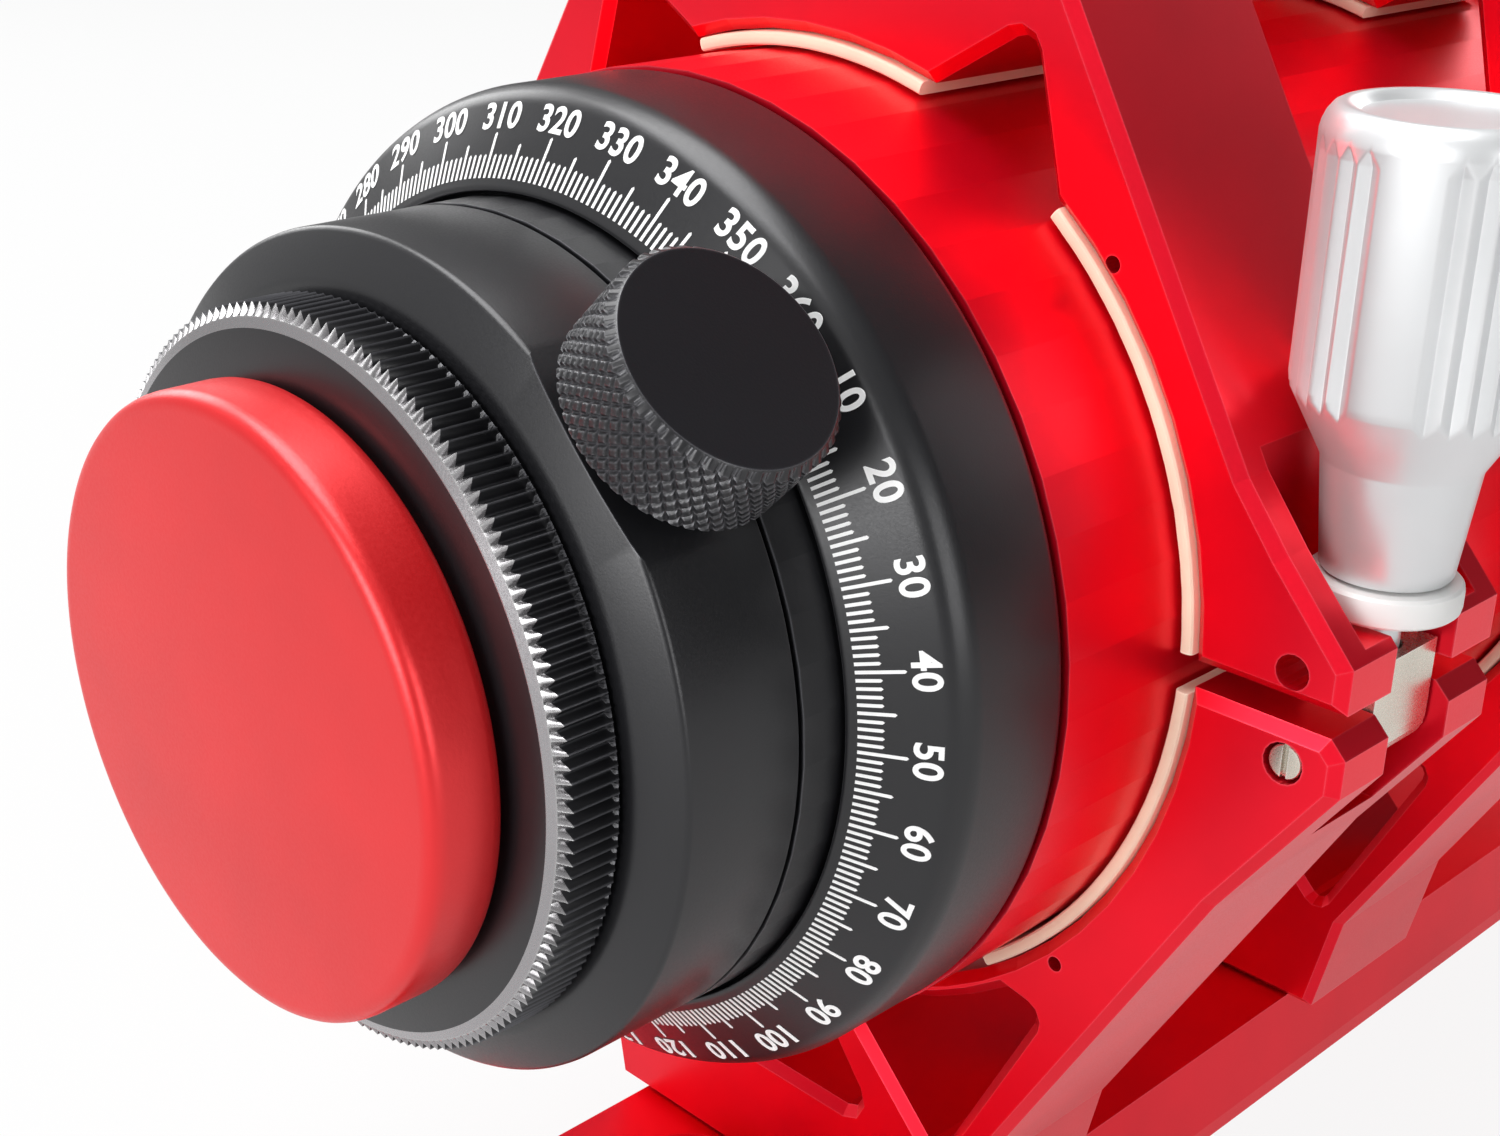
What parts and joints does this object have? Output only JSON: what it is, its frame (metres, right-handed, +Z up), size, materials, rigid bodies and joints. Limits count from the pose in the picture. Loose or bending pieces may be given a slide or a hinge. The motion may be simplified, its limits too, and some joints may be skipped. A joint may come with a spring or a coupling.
{
  "type": "refractor telescope tube in hinged rings",
  "caption": "Short refractor tube with a camera rotator and angle scale, held in hinged felt-lined lattice rings with clamp knobs on a dovetail bar.",
  "frame": {"origin": "middle of the footprint, at the underside of the dovetail bar", "axes": "+Y along the tube towards the dew shield, +Z up, +X towards the clamp knobs"},
  "size_m": [0.1368, 0.2806, 0.1616],
  "materials": {
    "red_anodised": "red anodised, satin",
    "cap_red": "smooth moulded plastic",
    "black_anodised": "black anodised, fine satin",
    "silver_anodised": "clear anodised, satin",
    "steel": "turned",
    "brass": "turned",
    "felt": "pressed felt",
    "nylon": "white nylon",
    "glass": "polished, coated"
  },
  "bodies": {
    "cradle": {"dovetail_bar": "red_anodised", "stop_screw": "red_anodised", "lower_ring_rear": "red_anodised", "lower_felt_right_rear": "felt", "lower_felt_left_rear": "felt", "foot_screw_rear": "steel", "hinge_pin_rear": "steel", "swing_nut_rear": "steel", "pivot_screw_rear": "steel", "lower_ring_front": "red_anodised", "lower_felt_right_front": "felt", "lower_felt_left_front": "felt", "foot_screw_front": "steel", "hinge_pin_front": "steel", "swing_nut_front": "steel", "pivot_screw_front": "steel"},
    "upper_half": {"handle_bar": "red_anodised", "upper_ring_rear": "red_anodised", "top_felt_rear": "felt", "upper_felt_right_rear": "felt", "upper_felt_left_rear": "felt", "handle_screw_rear": "steel", "upper_ring_front": "red_anodised", "top_felt_front": "felt", "upper_felt_right_front": "felt", "upper_felt_left_front": "felt", "handle_screw_front": "steel"},
    "washer_rear": {"nylon_washer_rear": "nylon"},
    "washer_front": {"nylon_washer_front": "nylon"},
    "knob_rear": {"clamp_knob_rear": "silver_anodised"},
    "knob_front": {"clamp_knob_front": "silver_anodised"},
    "tube": {"main_tube": "red_anodised", "scale_ring": "black_anodised", "rotator_seat": "black_anodised", "baffle_rear": "black_anodised", "baffle_front": "black_anodised", "focus_hub": "black_anodised", "shaft_bush": "brass", "objective_cell": "black_anodised", "objective_lens_rear": "glass", "objective_lens_front": "glass", "lens_spacer": "black_anodised", "lens_lock_ring": "black_anodised"},
    "rotator": {"rotator_body": "black_anodised", "guide_screw_upper": "steel", "guide_screw_lower": "steel"},
    "pad": {"pressure_pad": "brass"},
    "thumbscrew": {"thumbscrew": "black_anodised"},
    "adapter": {"adapter_ring": "black_anodised"},
    "rear_cap": {"rear_cap": "cap_red"},
    "focus_drive": {"focus_shaft": "steel", "focus_pinion": "brass", "coarse_focus_knob": "black_anodised"},
    "fine_knob": {"fine_focus_knob": "red_anodised"},
    "focus_cell": {"focus_cell": "black_anodised", "focus_lens": "glass", "focus_rack": "brass"},
    "dew_shield": {"dew_shield": "red_anodised"},
    "front_cap": {"front_cap": "red_anodised"}
  },
  "joints": [
    {"name": "ring_hinge", "type": "hinge", "parent": "cradle", "child": "upper_half", "pos_m": [-0.05395, -0.07767, 0.0893], "axis": [0, -1, 0], "range_deg": [0, 95]},
    {"name": "clamp_lift_rear", "type": "slide", "parent": "upper_half", "child": "washer_rear", "axis": [0, 0, 1], "range_m": [0, 0.0055]},
    {"name": "clamp_turn_rear", "type": "hinge", "parent": "washer_rear", "child": "knob_rear", "pos_m": [0.05855, -0.06512, 0.0893], "axis": [0, 0, 1], "range_deg": [0, 2480]},
    {"name": "clamp_lift_front", "type": "slide", "parent": "upper_half", "child": "washer_front", "axis": [0, 0, 1], "range_m": [0, 0.0055]},
    {"name": "clamp_turn_front", "type": "hinge", "parent": "washer_front", "child": "knob_front", "pos_m": [0.05855, 0.00698, 0.0893], "axis": [0, 0, 1], "range_deg": [0, 2480]},
    {"name": "tube_slide", "type": "slide", "parent": "cradle", "child": "tube", "axis": [0, 1, 0], "range_m": [-0.008, 0.008]},
    {"name": "rotator_turn", "type": "hinge", "parent": "tube", "child": "rotator", "pos_m": [0.00225, -0.11857, 0.0893], "axis": [0, 1, 0], "continuous": true},
    {"name": "pad_slide", "type": "slide", "parent": "rotator", "child": "pad", "axis": [0.7071, 0, 0.7071], "range_m": [0, 0.0025]},
    {"name": "thumbscrew_turn", "type": "hinge", "parent": "pad", "child": "thumbscrew", "pos_m": [0.03053, -0.11857, 0.11758], "axis": [0.7071, 0, 0.7071], "range_deg": [0, 1290]},
    {"name": "adapter_turn", "type": "hinge", "parent": "rotator", "child": "adapter", "pos_m": [0.00225, -0.13277, 0.0893], "axis": [0, 1, 0], "continuous": true},
    {"name": "rear_cap_pull", "type": "slide", "parent": "adapter", "child": "rear_cap", "axis": [0, -1, 0], "range_m": [0, 0.04]},
    {"name": "focus_turn", "type": "hinge", "parent": "tube", "child": "focus_drive", "pos_m": [-0.05775, -0.02857, 0.0893], "axis": [1, 0, 0], "range_deg": [-120, 120]},
    {"name": "fine_turn", "type": "hinge", "parent": "tube", "child": "fine_knob", "pos_m": [-0.06375, -0.02857, 0.0893], "axis": [1, 0, 0], "range_deg": [-1200, 1200]},
    {"name": "focus_travel", "type": "slide", "parent": "tube", "child": "focus_cell", "axis": [0, 1, 0], "range_m": [-0.012, 0.012]},
    {"name": "dew_shield_slide", "type": "slide", "parent": "tube", "child": "dew_shield", "axis": [0, 1, 0], "range_m": [0, 0.055]},
    {"name": "front_cap_pull", "type": "slide", "parent": "dew_shield", "child": "front_cap", "axis": [0, 1, 0], "range_m": [0, 0.06]}
  ],
  "couplings": [
    {"joint": "clamp_turn_rear", "follows": "clamp_lift_rear", "rad_per_m": 7854},
    {"joint": "clamp_turn_front", "follows": "clamp_lift_front", "rad_per_m": 7854},
    {"joint": "thumbscrew_turn", "follows": "pad_slide", "rad_per_m": 8976},
    {"joint": "fine_turn", "follows": "focus_turn", "ratio": 10},
    {"joint": "focus_travel", "follows": "focus_turn", "m_per_rad": -0.0056}
  ]
}
